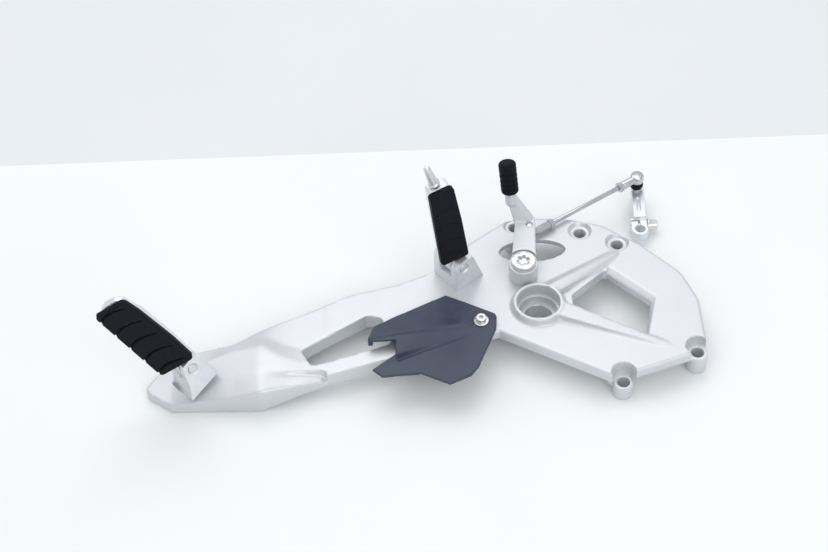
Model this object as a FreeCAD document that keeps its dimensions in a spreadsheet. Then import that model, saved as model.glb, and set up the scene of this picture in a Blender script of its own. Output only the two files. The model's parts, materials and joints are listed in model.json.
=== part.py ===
import FreeCAD, Part
import math
import os
import Sketcher
from types import SimpleNamespace
from FreeCAD import Placement, Rotation, Vector

# Left footrest plate of a motorcycle, lying with its outboard side up.
# Frame: origin on the axis of the pivot bore at the inboard mounting plane, +Z outboard (up), +X to the
# front of the motorcycle, -Y to the top of the motorcycle. Millimetres and degrees.

DOC = FreeCAD.newDocument("footrest_plate_left")
SHEET = DOC.addObject("Spreadsheet::Sheet", "Sizes")
SUBPARTS = []

DRIVING_SIZES = {
    # casting
    "plate_top": 28.0, "plate_under": 17.5, "skin": 5.0, "edge_round": 2.2, "casting_height": 45.0,
    "pivot_radius": 12.0, "pivot_depth": 15.0, "pivot_step_radius": 16.4, "pivot_step_top": 22.0,
    "pivot_cap_radius": 18.6, "ring_top": 34.5, "ring_radius": 21.8, "ring_base_radius": 24.0,
    "oval_length": 58.6, "oval_width": 26.0,
    "bolt_hole_radius": 5.25, "spotface_radius": 10.4, "spotface_floor_radius": 8.2, "spotface_depth": 3.6,
    "frame_boss_radius": 10.2, "edge_boss_radius": 8.7, "edge_pocket_radius": 10.4,
    "rear_boss_top": 14.5, "front_boss_top": 19.0,
    # footrest joints
    "pin_radius": 4.0, "pin_fit": 0.05, "joint_depth": 31.0, "slot_width": 15.0, "slot_gap": 0.3,
    "tongue_radius": 9.2, "slot_radius": 12.2, "joint_bolt_radius": 5.0, "pin_stub": 3.4,
    "clip_groove_radius": 3.0, "clip_radius": 6.4, "clip_thickness": 1.0,
    "spring_wire_radius": 0.9, "spring_coil_radius": 5.6, "spring_pitch": 2.05, "spring_turns": 2.0,
    "joint_head_radius": 8.0, "rider_grip": 9.0, "pillion_grip": 6.0,
    "spring_room": 6.4, "washer_room": 1.2,
    "rider_turn": 37.0, "rider_lean": 7.0, "rider_twist": 14.5, "rider_pin_height": 51.5,
    "pillion_lean": 27.2, "pillion_turn": 38.7, "pillion_twist": 30.0, "pillion_pin_height": 39.3,
    "pillion_pad": 22.5,
    # footrest pegs
    "shoulder": 9.9, "rider_length": 90.5, "rider_core_front": 5.8, "rider_core_back": 3.8,
    "rider_tread": 11.2, "rider_nose": 1.0, "rider_shift": -2.0,
    "pillion_length": 88.6, "pillion_nose": 1.9, "pillion_core_front": 9.5,
    "pillion_core_back": -4.0, "pillion_tread": 14.5, "pillion_shift": -2.0,
    "rubber_fit": 0.05, "rubber_screw_radius": 2.5,
    "feeler_tilt": 10.0, "feeler_offset": -4.0, "feeler_radius": 3.2,
    "feeler_step_radius": 4.1, "feeler_collar_radius": 5.2, "feeler_thread_radius": 3.0,
    # shift lever and its bearing
    "washer_thickness": 1.4, "washer_radius": 12.4, "hub_radius": 12.8, "hub_bottom": 29.7, "hub_top": 44.5,
    "lever_top": 49.0, "lever_under": 41.0, "shoulder_radius": 6.0, "bush_radius": 8.0,
    "bush_fit": 0.04, "pivot_head_radius": 11.0, "pivot_head_height": 4.6, "thread_radius": 5.0,
    "toe_pin_radius": 4.0, "toe_rubber_radius": 7.9, "toe_rubber_length": 31.0, "toe_lean": 15.0,
    "toe_tilt": 4.4,
    # linkage
    "rear_ball_height": 34.3, "front_ball_height": 30.0, "ball_radius": 4.0, "socket_radius": 6.2,
    "socket_half": 4.3, "socket_fit": 0.1, "stud_radius": 2.9, "rod_radius": 2.15, "shank_radius": 3.8,
    "front_shank": 18.5, "rear_shank": 23.0, "nut_across_corners": 9.6, "nut_thickness": 4.0,
    "boot_radius": 6.1, "gear_lever_top": 16.5, "gear_arm_bottom": 6.0, "gear_hub_top": 13.0,
    "gear_hub_bottom": 4.0, "gear_hub_radius": 7.8, "gear_bore_radius": 4.5, "clamp_slit": 1.4,
    "pinch_radius": 2.5, "pinch_head_radius": 5.0, "pinch_offset": 7.7,
    # heel guard
    "guard_thickness": 2.6, "guard_underside": 29.2, "guard_screw_radius": 2.5, "collar_radius": 4.7,
    "guard_seat": 33.2,
}

# places in the plan, X and Y
LEVER_PIVOT = (-10.0, 36.0)
REAR_BALL = (-1.0, 79.0)
FRONT_BALL = (106.0, 147.4)
GEAR_SHAFT = (103.5, 99.3)
SPOTFACED_HOLES = [(-12.0, 99.0), (45.9, 87.2), (77.6, 70.3)]
REAR_EDGE_BOSS = (64.3, -78.2)
FRONT_EDGE_BOSS = (130.1, -54.9)
OVAL_CENTRE = (0.9, 66.0)
RIDER_PIN = (-71.2, 40.0)
PILLION_PIN = (-303.5, -47.8)
GUARD_SCREW = (-51.0, -17.5)
GUARD_REAR_SCREWS = [(-111.0, -28.5), (-101.0, -3.0)]
REAR_POST_TOPS = (36.5, 33.0)


class Size(float):
    """A length that also remembers the formula of sheet cells it came from."""

    def __new__(cls, value, formula):
        self = float.__new__(cls, value)
        self.formula = formula
        return self

    def __add__(self, other):
        return Size(float(self) + float(other), f"({self.formula} + {formula_of(other)})")

    def __radd__(self, other):
        return Size(float(other) + float(self), f"({formula_of(other)} + {self.formula})")

    def __sub__(self, other):
        return Size(float(self) - float(other), f"({self.formula} - {formula_of(other)})")

    def __rsub__(self, other):
        return Size(float(other) - float(self), f"({formula_of(other)} - {self.formula})")

    def __mul__(self, other):
        return Size(float(self) * float(other), f"({self.formula} * {formula_of(other)})")

    def __rmul__(self, other):
        return Size(float(other) * float(self), f"({formula_of(other)} * {self.formula})")

    def __truediv__(self, other):
        return Size(float(self) / float(other), f"({self.formula} / {formula_of(other)})")

    def __neg__(self):
        return Size(-float(self), f"(0 - {self.formula})")


def formula_of(value):
    return value.formula if isinstance(value, Size) else f"({float(value):.6f})"


def fill_sheet():
    """Write every driving size into the sheet and return them by name."""
    sizes = {}
    for row, (alias, value) in enumerate(DRIVING_SIZES.items(), start=1):
        SHEET.set(f"A{row}", alias)
        SHEET.set(f"B{row}", str(value))
        SHEET.setAlias(f"B{row}", alias)
        sizes[alias] = Size(value, f"Sizes.{alias}")
    DOC.recompute()
    return SimpleNamespace(**sizes)


S = fill_sheet()
Z_AXIS = Vector(0, 0, 1)


# ---------------------------------------------------------------- document helpers

def bind(item, name, value):
    """Give a property its value, driven by the sheet where the value comes from it."""
    setattr(item, name, float(value))
    if isinstance(value, Size):
        item.setExpression(name, value.formula)


def put(item, at=(0, 0, 0), axis=None):
    """Place an object, with its own +Z turned to an axis."""
    turn = Rotation(Z_AXIS, Vector(*axis)) if axis else Rotation()
    item.Placement = Placement(Vector(*[float(value) for value in at]), turn)
    for letter, value in zip("xyz", at):
        if isinstance(value, Size):
            item.setExpression(f"Placement.Base.{letter}", value.formula)
    return item


def new(kind, name):
    return DOC.addObject(kind, name)


def moved(item, placement):
    """Put an object, built about the origin, into another frame."""
    mover = new("Part::Compound", "moved_" + item.Name)
    mover.Links = [item]
    mover.Placement = placement
    return mover


def cylinder(radius, height, at=(0, 0, 0), axis=None, name="round"):
    item = new("Part::Cylinder", name)
    bind(item, "Radius", radius)
    bind(item, "Height", height)
    return put(item, at, axis)


def cone(radius_1, radius_2, height, at=(0, 0, 0), axis=None, name="cone"):
    item = new("Part::Cone", name)
    bind(item, "Radius1", radius_1)
    bind(item, "Radius2", radius_2)
    bind(item, "Height", height)
    return put(item, at, axis)


def sphere(radius, at=(0, 0, 0), name="ball"):
    item = new("Part::Sphere", name)
    bind(item, "Radius", radius)
    return put(item, at)


def box(low, high, name="block"):
    """A box from its lowest to its highest corner."""
    item = new("Part::Box", name)
    for side, start, end in zip(("Length", "Width", "Height"), low, high):
        bind(item, side, end - start)
    return put(item, low)


def prism(sides, radius, height, at=(0, 0, 0), axis=None, name="prism"):
    """Regular prism inside a circle of the given radius."""
    item = new("Part::Prism", name)
    item.Polygon = sides
    bind(item, "Circumradius", radius)
    bind(item, "Height", height)
    return put(item, at, axis)


def hexagon(across_corners, height, at=(0, 0, 0), axis=None, name="hexagon"):
    return prism(6, across_corners / 2, height, at, axis, name)


def fuse(items, name="joined"):
    item = new("Part::MultiFuse", name)
    item.Shapes = items
    item.Refine = True
    return item


def cut(base, tools, name="cut"):
    item = new("Part::Cut", name)
    item.Base = base
    item.Tool = tools[0] if len(tools) == 1 else fuse(tools, name + "_tools")
    return item


def common(items, name="common"):
    item = new("Part::MultiCommon", name)
    item.Shapes = items
    return item


def polygon_wire(points, name="section"):
    item = new("Part::Polygon", name)
    item.Nodes = [Vector(*point) for point in points]
    item.Close = True
    return item


def loft(sections, name="loft"):
    """Flat-sided solid through closed sections of equal corner counts."""
    item = new("Part::Loft", name)
    item.Sections = [polygon_wire(points) for points in sections]
    item.Solid = True
    item.Ruled = True
    return item


def hold(sketch, geometry, point, place):
    """Dimension one sketch point from the sketch's origin."""
    for kind, value in zip(("DistanceX", "DistanceY"), place):
        number = sketch.addConstraint(Sketcher.Constraint(kind, -1, 1, geometry, point, float(value)))
        if isinstance(value, Size):
            sketch.setExpression(f"Constraints[{number}]", value.formula)


def draw_polygon(sketch, corners):
    """Closed outline through corners, each dimensioned."""
    count = len(corners)
    places = [Vector(float(x), float(y), 0) for x, y in corners]
    lines = [sketch.addGeometry(Part.LineSegment(places[i], places[(i + 1) % count])) for i in range(count)]
    for i in range(count):
        sketch.addConstraint(Sketcher.Constraint("Coincident", lines[i], 2, lines[(i + 1) % count], 1))
        hold(sketch, lines[i], 1, corners[i])


def extrude(corners, bottom, height, plane="XY", name="slab"):
    """A dimensioned outline pulled along +Z (plan outlines) or along +Y (side outlines)."""
    sketch = new("Sketcher::SketchObject", name + "_outline")
    draw_polygon(sketch, corners)
    item = new("Part::Extrusion", name)
    item.Base = sketch
    item.Solid = True
    item.DirMode = "Custom"
    if plane == "XY":
        put(sketch, (0, 0, bottom))
        item.Dir = Z_AXIS
    else:
        sketch.Placement = Placement(Vector(0, float(bottom), 0), Rotation(Vector(1, 0, 0), 90))
        item.Dir = Vector(0, 1, 0)
    bind(item, "LengthFwd", height)
    return item


def rounded(item, radii, name="rounded", along="z"):
    """Round the edges that run along Z (or Y) and pass nearest to the stated places in X and Y (or Z)."""
    DOC.recompute()
    chosen = []
    for (x, across), radius in radii:
        near = []
        for number, edge in enumerate(item.Shape.Edges, start=1):
            if abs(getattr(edge.tangentAt(edge.FirstParameter), along)) > 0.999:
                middle = edge.CenterOfMass
                other = middle.y if along == "z" else middle.z
                near.append((math.hypot(middle.x - x, other - float(across)), number))
        chosen.append((min(near)[1], float(radius), float(radius)))
    result = new("Part::Fillet", name)
    result.Base = item
    result.Edges = chosen
    return result


def round_rim(item, height, radius, name="rim"):
    """Round the edges that lie at one height."""
    DOC.recompute()
    chosen = [(number, float(radius), float(radius)) for number, edge in enumerate(item.Shape.Edges, start=1)
              if abs(edge.BoundBox.ZMin - float(height)) < 1e-4 and edge.BoundBox.ZLength < 1e-4]
    result = new("Part::Fillet", name)
    result.Base = item
    result.Edges = chosen
    return result


def turned(label, profile, placement=None):
    """A lathe-turned piece: a closed half profile of (radius, height) corners about its own Z."""
    body = new("PartDesign::Body", label)
    sketch = body.newObject("Sketcher::SketchObject", label + "_profile")
    plane = next(item for item in body.Origin.OriginFeatures if item.Role == "XZ_Plane")
    sketch.AttachmentSupport = [(plane, "")]
    sketch.MapMode = "FlatFace"
    draw_polygon(sketch, profile)
    revolution = body.newObject("PartDesign::Revolution", label + "_turn")
    revolution.Profile = sketch
    revolution.ReferenceAxis = (sketch, ["V_Axis"])
    revolution.Angle = 360.0
    body.Tip = revolution
    if placement:
        body.Placement = placement
    return body


def subpart(item, label, placement=None):
    """Register a finished object as a sub-part of the assembly."""
    item.Label = label
    if placement:
        item.Placement = placement
    SUBPARTS.append(item)
    return item


def at(x, y, z):
    return Placement(Vector(float(x), float(y), float(z)), Rotation())


# ---------------------------------------------------------------- frames of the two folding footrests

def turn(axis, degrees):
    return Rotation(Vector(*axis), float(degrees))


def joint_frames():
    """Frames at the two fold pins: the joint's own frame and the peg's frame.

    In a joint frame +Z runs out of the clevis, the pin lies along Y and the peg folds towards -X.
    In a peg frame +Z runs along the peg and the tread faces -Y.
    """
    rider_centre = Vector(*RIDER_PIN, float(S.rider_pin_height))
    rider_joint = turn((0, 0, 1), S.rider_turn)
    rider_peg = rider_joint.multiply(turn((0, 1, 0), -S.rider_lean)).multiply(turn((0, 0, 1), -S.rider_twist))
    pillion_centre = Vector(*PILLION_PIN, float(S.pillion_pin_height))
    pillion_joint = turn((0, 1, 0), -S.pillion_lean).multiply(turn((0, 0, 1), S.pillion_turn))
    pillion_peg = pillion_joint.multiply(turn((0, 0, 1), -S.pillion_twist))
    return SimpleNamespace(
        rider_joint=Placement(rider_centre, rider_joint), rider_peg=Placement(rider_centre, rider_peg),
        pillion_joint=Placement(pillion_centre, pillion_joint),
        pillion_peg=Placement(pillion_centre, pillion_peg))


RUBBER_SCREWS = (30, 75)
F = joint_frames()
RIDER_BASE = S.rider_pin_height - S.plate_top
RIDER_BOLT_X = 6.0
PILLION_BOLT_X = -4.0


# ---------------------------------------------------------------- casting

def plate_slab():
    """The flat part of the casting, with rounded corners and a rounded outboard edge."""
    corners = [(-95, 20), (-91, 47), (-53.5, 81), (-14, 109.5), (36, 103.2), (66, 93.2), (98, 66.5),
               (129, 30), (139.5, -3), (138, -58.7), (57.5, -83.9), (-36, -25.8), (-62, -32)]
    radii = [12, 4, 14, 20, 22, 22, 30, 28, 34, 5, 5, 4, 4]
    slab = extrude(corners, S.plate_under, S.plate_top - S.plate_under, name="plate_slab")
    shaped = rounded(slab, [(corner, radius) for corner, radius in zip(corners, radii) if radius > 4])
    return round_rim(shaped, S.plate_top, S.edge_round, "plate_rim")


# Cross-sections of the tail, from its rear end forward. A row is a place in X, the height of the underside,
# and six points (Y, Z) over the top: skirt edge, skirt root, ridge edge, crest, crest foot, far edge.
TAIL_STATIONS = [
    (-352, 0, [(-84, 5.5), (-62, 6.5), (-60, 6.8), (-45, 7.5), (-30, 8.0), (0, 9.0)]),
    (-318, 0, [(-71.2, 8.5), (-57, 11.0), (-55, 11.4), (-40, 13.5), (-32, 14.0), (-16, 14.0)]),
    (-300, 0, [(-72.2, 12.3), (-56, 15.3), (-54, 15.7), (-36, 17.6), (-28, 17.8), (-16, 17.0)]),
    (-262, 0, [(-74.7, 20.2), (-56, 24.4), (-54, 24.8), (-27, 25.8), (-19, 21.5), (-8, 18.8)]),
    (-240, 0, [(-76.0, 25.6), (-57, 29.4), (-55, 29.8), (-26, 30.0), (-13, 24.0), (2, 21.2)]),
    (-224, 3.4, [(-71.0, 23.4), (-58, 25.8), (-56, 27.8), (-39, 28.2), (-22, 23.4), (8, 22.0)]),
    (-205, 6.5, [(-65.5, 20.8), (-56, 20.8), (-53.5, 24.6), (-44, 24.4), (-28, 22.4), (16, 22.2)]),
    (-190, 8.0, [(-61.0, 17.0), (-54.5, 17.0), (-52.5, 23.2), (-43, 23.2), (-26, 22.9), (22, 22.8)]),
    (-180, 8.6, [(-59.0, 9.6), (-58, 9.7), (-57.5, 23.4), (-43, 23.4), (-24, 23.4), (26, 23.4)]),
]


def tail():
    """The domed rear end of the arm, with a skirt along one side and a ridge that becomes the lower strut."""
    sections = [[(x, over[0][0], under)] + [(x, y, z) for y, z in over] + [(x, over[-1][0], under)]
                for x, under, over in TAIL_STATIONS]
    return loft(sections, "arm_tail")


def arm():
    """The rearward arm: its plan outline, common with its side outline and the tail."""
    corners = [(-50, 48), (-70, 66), (-91, 47), (-120, 36.2), (-163, 29), (-248, -5.5), (-266, -16),
               (-300, -21), (-331, -37), (-343, -52), (-318, -71.2), (-242, -76), (-213, -68.3),
               (-183, -59), (-50, -29.2)]
    radii = [(corners[2], 8), (corners[3], 30), (corners[4], 40), (corners[5], 24), (corners[6], 18),
             (corners[8], 12), (corners[9], 6), (corners[10], 5), (corners[11], 12)]
    plan = rounded(extrude(corners, 0, S.casting_height, name="arm_plan"), radii, "arm_plan_rounded")
    side = extrude([(-30, S.plate_under), (-30, S.plate_top), (-95, S.plate_top), (-140, 26), (-185, 23.5),
                    (-185, 8.5), (-150, 8.8), (-70, S.plate_under)],
                   -100, 190, plane="XZ", name="arm_side")
    return common([plan, fuse([side, tail()], "arm_solid")], "arm")


def casting():
    pivot_boss = cylinder(S.ring_base_radius, S.plate_top, name="pivot_boss")
    pivot_ring = cone(S.ring_base_radius, S.ring_radius, S.ring_top - S.plate_top, (0, 0, S.plate_top),
                      name="pivot_ring")
    rib_up = loft([[(11, 20, 18), (11, 20, 34.2), (18, 8, 34.2), (23.5, 0.3, 18)],
                   [(74, 53, 18), (74, 53, 28.1), (66.5, 42.5, 28.1), (69.5, 38.3, 18)]], "rib_up")
    rib_down = loft([[(20.5, 0, 18), (20.5, 0, 34.2), (14, -16, 34.2), (14, -16, 18)],
                     [(109, -51.6, 18), (109, -51.6, 28.1), (105, -54.2, 28.1), (105, -54.2, 18)]],
                    "rib_down")
    solids = [plate_slab(), arm(), pivot_boss, pivot_ring, rib_up, rib_down]
    solids.append(cylinder(13, S.plate_under, (*LEVER_PIVOT, 1), name="lever_boss"))
    for x, y in SPOTFACED_HOLES:
        solids.append(cylinder(S.frame_boss_radius, S.plate_under + 1, (x, y, 0), name="frame_boss"))
    edge_bosses = [(REAR_EDGE_BOSS, S.rear_boss_top), (FRONT_EDGE_BOSS, S.front_boss_top)]
    for (x, y), top in edge_bosses:
        solids.append(cylinder(S.edge_boss_radius, top, (x, y, 0), name="edge_boss"))
    solids.append(cylinder(11, 14, (REAR_EDGE_BOSS[0] - 3, REAR_EDGE_BOSS[1] + 12, 5), name="boss_web"))
    solids.append(box((REAR_EDGE_BOSS[0] - 7, REAR_EDGE_BOSS[1], 5), (REAR_EDGE_BOSS[0] + 4,
                  REAR_EDGE_BOSS[1] + 14, S.rear_boss_top), "boss_gusset"))

    window = extrude([(30.2, 10.1), (62.3, 37.0), (97.9, -0.1), (88.0, -38.6), (30.5, -5.0)],
                     -1, S.casting_height, name="plate_window")
    bevel = loft([[(62.3, 37.0, 24.4), (97.9, -0.1, 24.4), (88.0, -38.6, 24.4), (58, 0, 24.4)],
                  [(66.4, 43.0, 28.4), (103.0, 3.4, 28.4), (90.5, -40.0, 28.4), (58, 0, 28.4)]],
                 "plate_window_bevel")
    arm_window = extrude([(-207, -29.5), (-149, 3.2), (-136.5, -1.4), (-128.5, -30.8), (-198, -47.6)],
                         -1, S.casting_height, name="arm_window")
    oval = new("Part::Ellipse", "oval_line")
    bind(oval, "MajorRadius", S.oval_length / 2)
    bind(oval, "MinorRadius", S.oval_width / 2)
    put(oval, (*OVAL_CENTRE, 0))
    oval_hole = new("Part::Extrusion", "oval_hole")
    oval_hole.Base = oval
    oval_hole.DirMode = "Custom"
    oval_hole.Dir = Z_AXIS
    oval_hole.Solid = True
    bind(oval_hole, "LengthFwd", S.casting_height)

    through = S.casting_height + 2
    holes = [rounded(arm_window, [((-207, -29.5), 4), ((-149, 3.2), 5), ((-136.5, -1.4), 5),
                                  ((-128.5, -30.8), 5), ((-198, -47.6), 5)], "arm_window_rounded"),
             rounded(window, [((30.2, 10.1), 2), ((62.3, 37.0), 3), ((97.9, -0.1), 4), ((88.0, -38.6), 3)],
                     "plate_window_rounded"),
             bevel, oval_hole,
             cylinder(S.pivot_radius, through, (0, 0, -1)),
             cylinder(S.pivot_step_radius, through, (0, 0, S.pivot_depth)),
             cylinder(S.pivot_cap_radius, through, (0, 0, S.pivot_step_top)),
             cylinder(S.thread_radius + S.pin_fit, through, (*LEVER_PIVOT, 8))]
    for x, y in SPOTFACED_HOLES:
        holes.append(cylinder(S.bolt_hole_radius, through, (x, y, -1)))
        holes.append(cone(S.spotface_floor_radius, S.spotface_radius, S.spotface_depth,
                          (x, y, S.plate_top - S.spotface_depth)))
    for (x, y), top in edge_bosses:
        holes.append(cylinder(S.bolt_hole_radius, through, (x, y, -1)))
        holes.append(cylinder(S.edge_pocket_radius, through, (x, y, top)))
    holes += joint_seats() + guard_holes()
    solid = cut(fuse(solids, "casting_solid"), holes, "casting_cut")
    subpart(cut(solid, [underside_pockets()], "casting"), "footrest_plate")


def joint_seats():
    """Room for the two joint blocks, and the holes of the bolts that hold them from behind."""
    depth = S.joint_depth / 2 + 0.2
    seat = extrude([(-20.4, -depth), (12.6, -depth), (12.6, depth), (-20.4, depth)], 0, 42,
                   name="pillion_seat")
    room = [moved(seat, F.pillion_joint.multiply(at(0, 0, -S.pillion_pad)))]
    for frame, bolt_x, base, grip in ((F.rider_joint, RIDER_BOLT_X, RIDER_BASE, S.rider_grip),
                                      (F.pillion_joint, PILLION_BOLT_X, S.pillion_pad, S.pillion_grip)):
        room.append(moved(cylinder(S.joint_bolt_radius + 0.25, 60, name="joint_bolt_hole"),
                          frame.multiply(at(bolt_x, 0, -base - 50))))
        room.append(moved(cylinder(S.joint_head_radius + 1, 60, name="joint_bolt_head_room"),
                          frame.multiply(at(bolt_x, 0, -base - grip - 60))))
    return room


def guard_holes():
    """Holes for the heel guard's three screws."""
    return [cylinder(S.guard_screw_radius + 0.1, S.casting_height, (x, y, 0), name="guard_hole")
            for x, y in [GUARD_SCREW] + GUARD_REAR_SCREWS]


def underside_pockets():
    """The hollows behind the plate and the arm, which leave rims, bosses and ribs standing."""
    inner = extrude([(-50, 18), (-52, 66), (-14, 102), (34, 96), (62, 86), (92, 61), (122, 26), (132, -5),
                     (130, -52), (60, -74), (-34, -17)],
                    S.plate_under - 1, S.plate_top - S.skin - S.plate_under + 1, name="plate_hollow")
    islands = [cylinder(S.ring_base_radius + 1, 40), cylinder(14, 40, (*LEVER_PIVOT, 0)),
               cylinder(14, 40, (*FRONT_EDGE_BOSS, 0)), cylinder(16, 40, (*REAR_EDGE_BOSS, 0)),
               cylinder(9, 40, (*GUARD_SCREW, 0))]
    islands += [cylinder(S.frame_boss_radius + 1.5, 40, (x, y, 0)) for x, y in SPOTFACED_HOLES]
    islands.append(extrude([(8, 22), (66, 62), (78, 50), (104, -2), (98, -40), (112, -60), (98, -58),
                            (40, -28), (12, -20)], 0, 40, name="window_rim"))
    for corners in ([(0, 0), (-60, 30), (-60, 38), (0, 8)], [(0, 0), (20, -80), (28, -80), (10, 0)],
                    [(31, 66), (46, 92), (52, 90), (40, 60)]):
        islands.append(extrude(corners, 0, 40, name="back_rib"))
    plate_hollow = cut(inner, islands, "plate_hollows")
    arm_hollow = extrude([(-92, -30), (-120, -37), (-123, 24), (-98, 33), (-64, 40), (-60, -14)],
                         -1, 20.0, name="arm_front_hollow")
    bolt_boss = moved(cylinder(S.joint_head_radius + 4, 80), F.rider_joint.multiply(at(RIDER_BOLT_X, 0, -60)))
    strut_plan = extrude([(-203, -24), (-152, 7), (-135, 3), (-128, 24), (-162, 24), (-210, 5.5),
                          (-240, -8), (-238, -22), (-214, -28)], 0, S.casting_height, name="strut_plan")
    strut_side = extrude([(-242, -1), (-242, 18.2), (-205, 18.4), (-126, 22.4), (-126, -1)], -100, 190,
                         plane="XZ", name="strut_side")
    strut_hollow = common([strut_plan, strut_side], "strut_hollow")
    tail_hollow = extrude([(-246, -64), (-226, -62), (-222, -50), (-224, -30), (-246, -28)], -1, 19,
                          name="tail_hollow")
    return fuse([plate_hollow, cut(arm_hollow, [bolt_boss], "arm_hollow"), strut_hollow, tail_hollow],
                "hollows")


# ---------------------------------------------------------------- folding joints

def joint_block(label, outline, base, frame, bolt_x):
    """A clevis: two ears on a base, open towards -X, bored for the fold pin and tapped from below."""
    half = S.joint_depth / 2
    ears = extrude(outline, -half, S.joint_depth, plane="XZ", name=label + "_ears")
    slot = S.slot_width / 2
    solid = rounded_along_y(ears, label)
    tools = [box((-60, -slot, -S.slot_radius), (S.slot_radius, slot, 60), label + "_slot"),
             cylinder(S.pin_radius + S.pin_fit, S.joint_depth + 2, (0, -half - 1, 0), (0, 1, 0)),
             cone(S.pin_radius + 1.3, S.pin_radius, 1.3, (0, -half - 0.01, 0), (0, 1, 0)),
             cylinder(S.joint_bolt_radius + S.pin_fit, thread_depth(base), (bolt_x, 0, -base))]
    subpart(cut(solid, tools, label + "_cut"), label, frame)


def thread_depth(base):
    """Depth of the tapped hole, which stays short of the slot."""
    return base - S.slot_radius - 2.5


def rounded_along_y(item, label):
    """Soften the corners of an ear outline."""
    DOC.recompute()
    chosen = []
    for number, edge in enumerate(item.Shape.Edges, start=1):
        along_y = abs(edge.tangentAt(edge.FirstParameter).y) > 0.999
        if along_y and edge.CenterOfMass.z > -12:
            chosen.append((number, 3.0, 3.0))
    result = new("Part::Fillet", label + "_rounded")
    result.Base = item
    result.Edges = chosen
    return result


def fold_pin(label, frame):
    """Pin with one flush end and one stub that takes the spring clip."""
    half = S.joint_depth / 2
    groove = half + 0.6
    profile = [(0, -half + 0.4), (S.pin_radius - 0.5, -half + 0.4), (S.pin_radius, -half + 0.9),
               (S.pin_radius, groove), (S.clip_groove_radius, groove),
               (S.clip_groove_radius, groove + S.clip_thickness + 0.2),
               (S.pin_radius, groove + S.clip_thickness + 0.2), (S.pin_radius, half + S.pin_stub - 0.6),
               (S.pin_radius - 0.6, half + S.pin_stub), (0, half + S.pin_stub)]
    along_y = Placement(Vector(), Rotation(Vector(1, 0, 0), -90))
    subpart(turned(label, profile), label, frame.multiply(along_y))


def pin_clip(label, frame):
    """Open spring clip seated in the pin's groove."""
    along_y = Placement(Vector(), Rotation(Vector(1, 0, 0), -90))
    disc = cylinder(S.clip_radius, S.clip_thickness)
    seat = cylinder(S.clip_groove_radius + 0.05, S.clip_thickness + 2, (0, 0, -1))
    mouth = box((-2.6, 0, -1), (2.6, 10, 3), "clip_mouth")
    reliefs = [cylinder(1.1, 4, (side * 3.9, 0.6, -1)) for side in (-1, 1)]
    place = frame.multiply(along_y).multiply(at(0, 0, S.joint_depth / 2 + 0.7))
    subpart(cut(disc, [seat, mouth] + reliefs, label + "_cut"), label, place)


def joint_bolt(label, frame, bolt_x, base, grip):
    """Cap screw driven from the inboard side up into the block."""
    radius, head = S.joint_bolt_radius, S.joint_head_radius
    reach = thread_depth(base) - 0.3
    profile = [(0, -grip - 8), (head, -grip - 8), (head, -grip), (radius, -grip), (radius, reach), (0, reach)]
    screw = turned(label + "_body", profile)
    socket = hexagon(9.2, 5, (0, 0, -grip - 8.01))
    subpart(cut(screw, [socket], label + "_cut"), label, frame.multiply(at(bolt_x, 0, -base)))


def return_spring():
    """Torsion spring wound round the rider's fold pin, with a leg up the peg and a leg on the block."""
    helix = new("Part::Helix", "spring_line")
    bind(helix, "Radius", S.spring_coil_radius)
    bind(helix, "Pitch", S.spring_pitch)
    bind(helix, "Height", S.spring_pitch * S.spring_turns)
    wire = new("Part::RegularPolygon", "spring_wire")
    wire.Polygon = 8
    bind(wire, "Circumradius", S.spring_wire_radius)
    wire.Placement = Placement(Vector(float(S.spring_coil_radius), 0, 0), Rotation(Vector(1, 0, 0), 90))
    coil = new("Part::Sweep", "spring_coil")
    coil.Sections = [wire]
    coil.Spine = (helix, [])
    coil.Solid = True
    coil.Frenet = True
    rise = S.spring_pitch * S.spring_turns
    legs = [prism(8, S.spring_wire_radius, 7.5, (S.spring_coil_radius, 0, height), (0, way, 0), "spring_leg")
            for height, way in ((0, -1), (rise, 1))]
    start = S.slot_width / 2 - 1.4 - rise
    place = F.rider_joint.multiply(Placement(Vector(0, float(start), 0), Rotation(Vector(1, 0, 0), -90)))
    subpart(fuse([coil] + legs, "spring"), "rider_return_spring", place)


# ---------------------------------------------------------------- pegs

def bar(outline, radii, front, back, name):
    """A bar along +Z with rounded corners: an outline in X and Z that fills -front to +back in Y."""
    blank = extrude(outline, -front, front + back, plane="XZ", name=name)
    return rounded(blank, [(outline[number], radius) for number, radius in radii.items()], name + "_rounded",
                   along="y")


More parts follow.
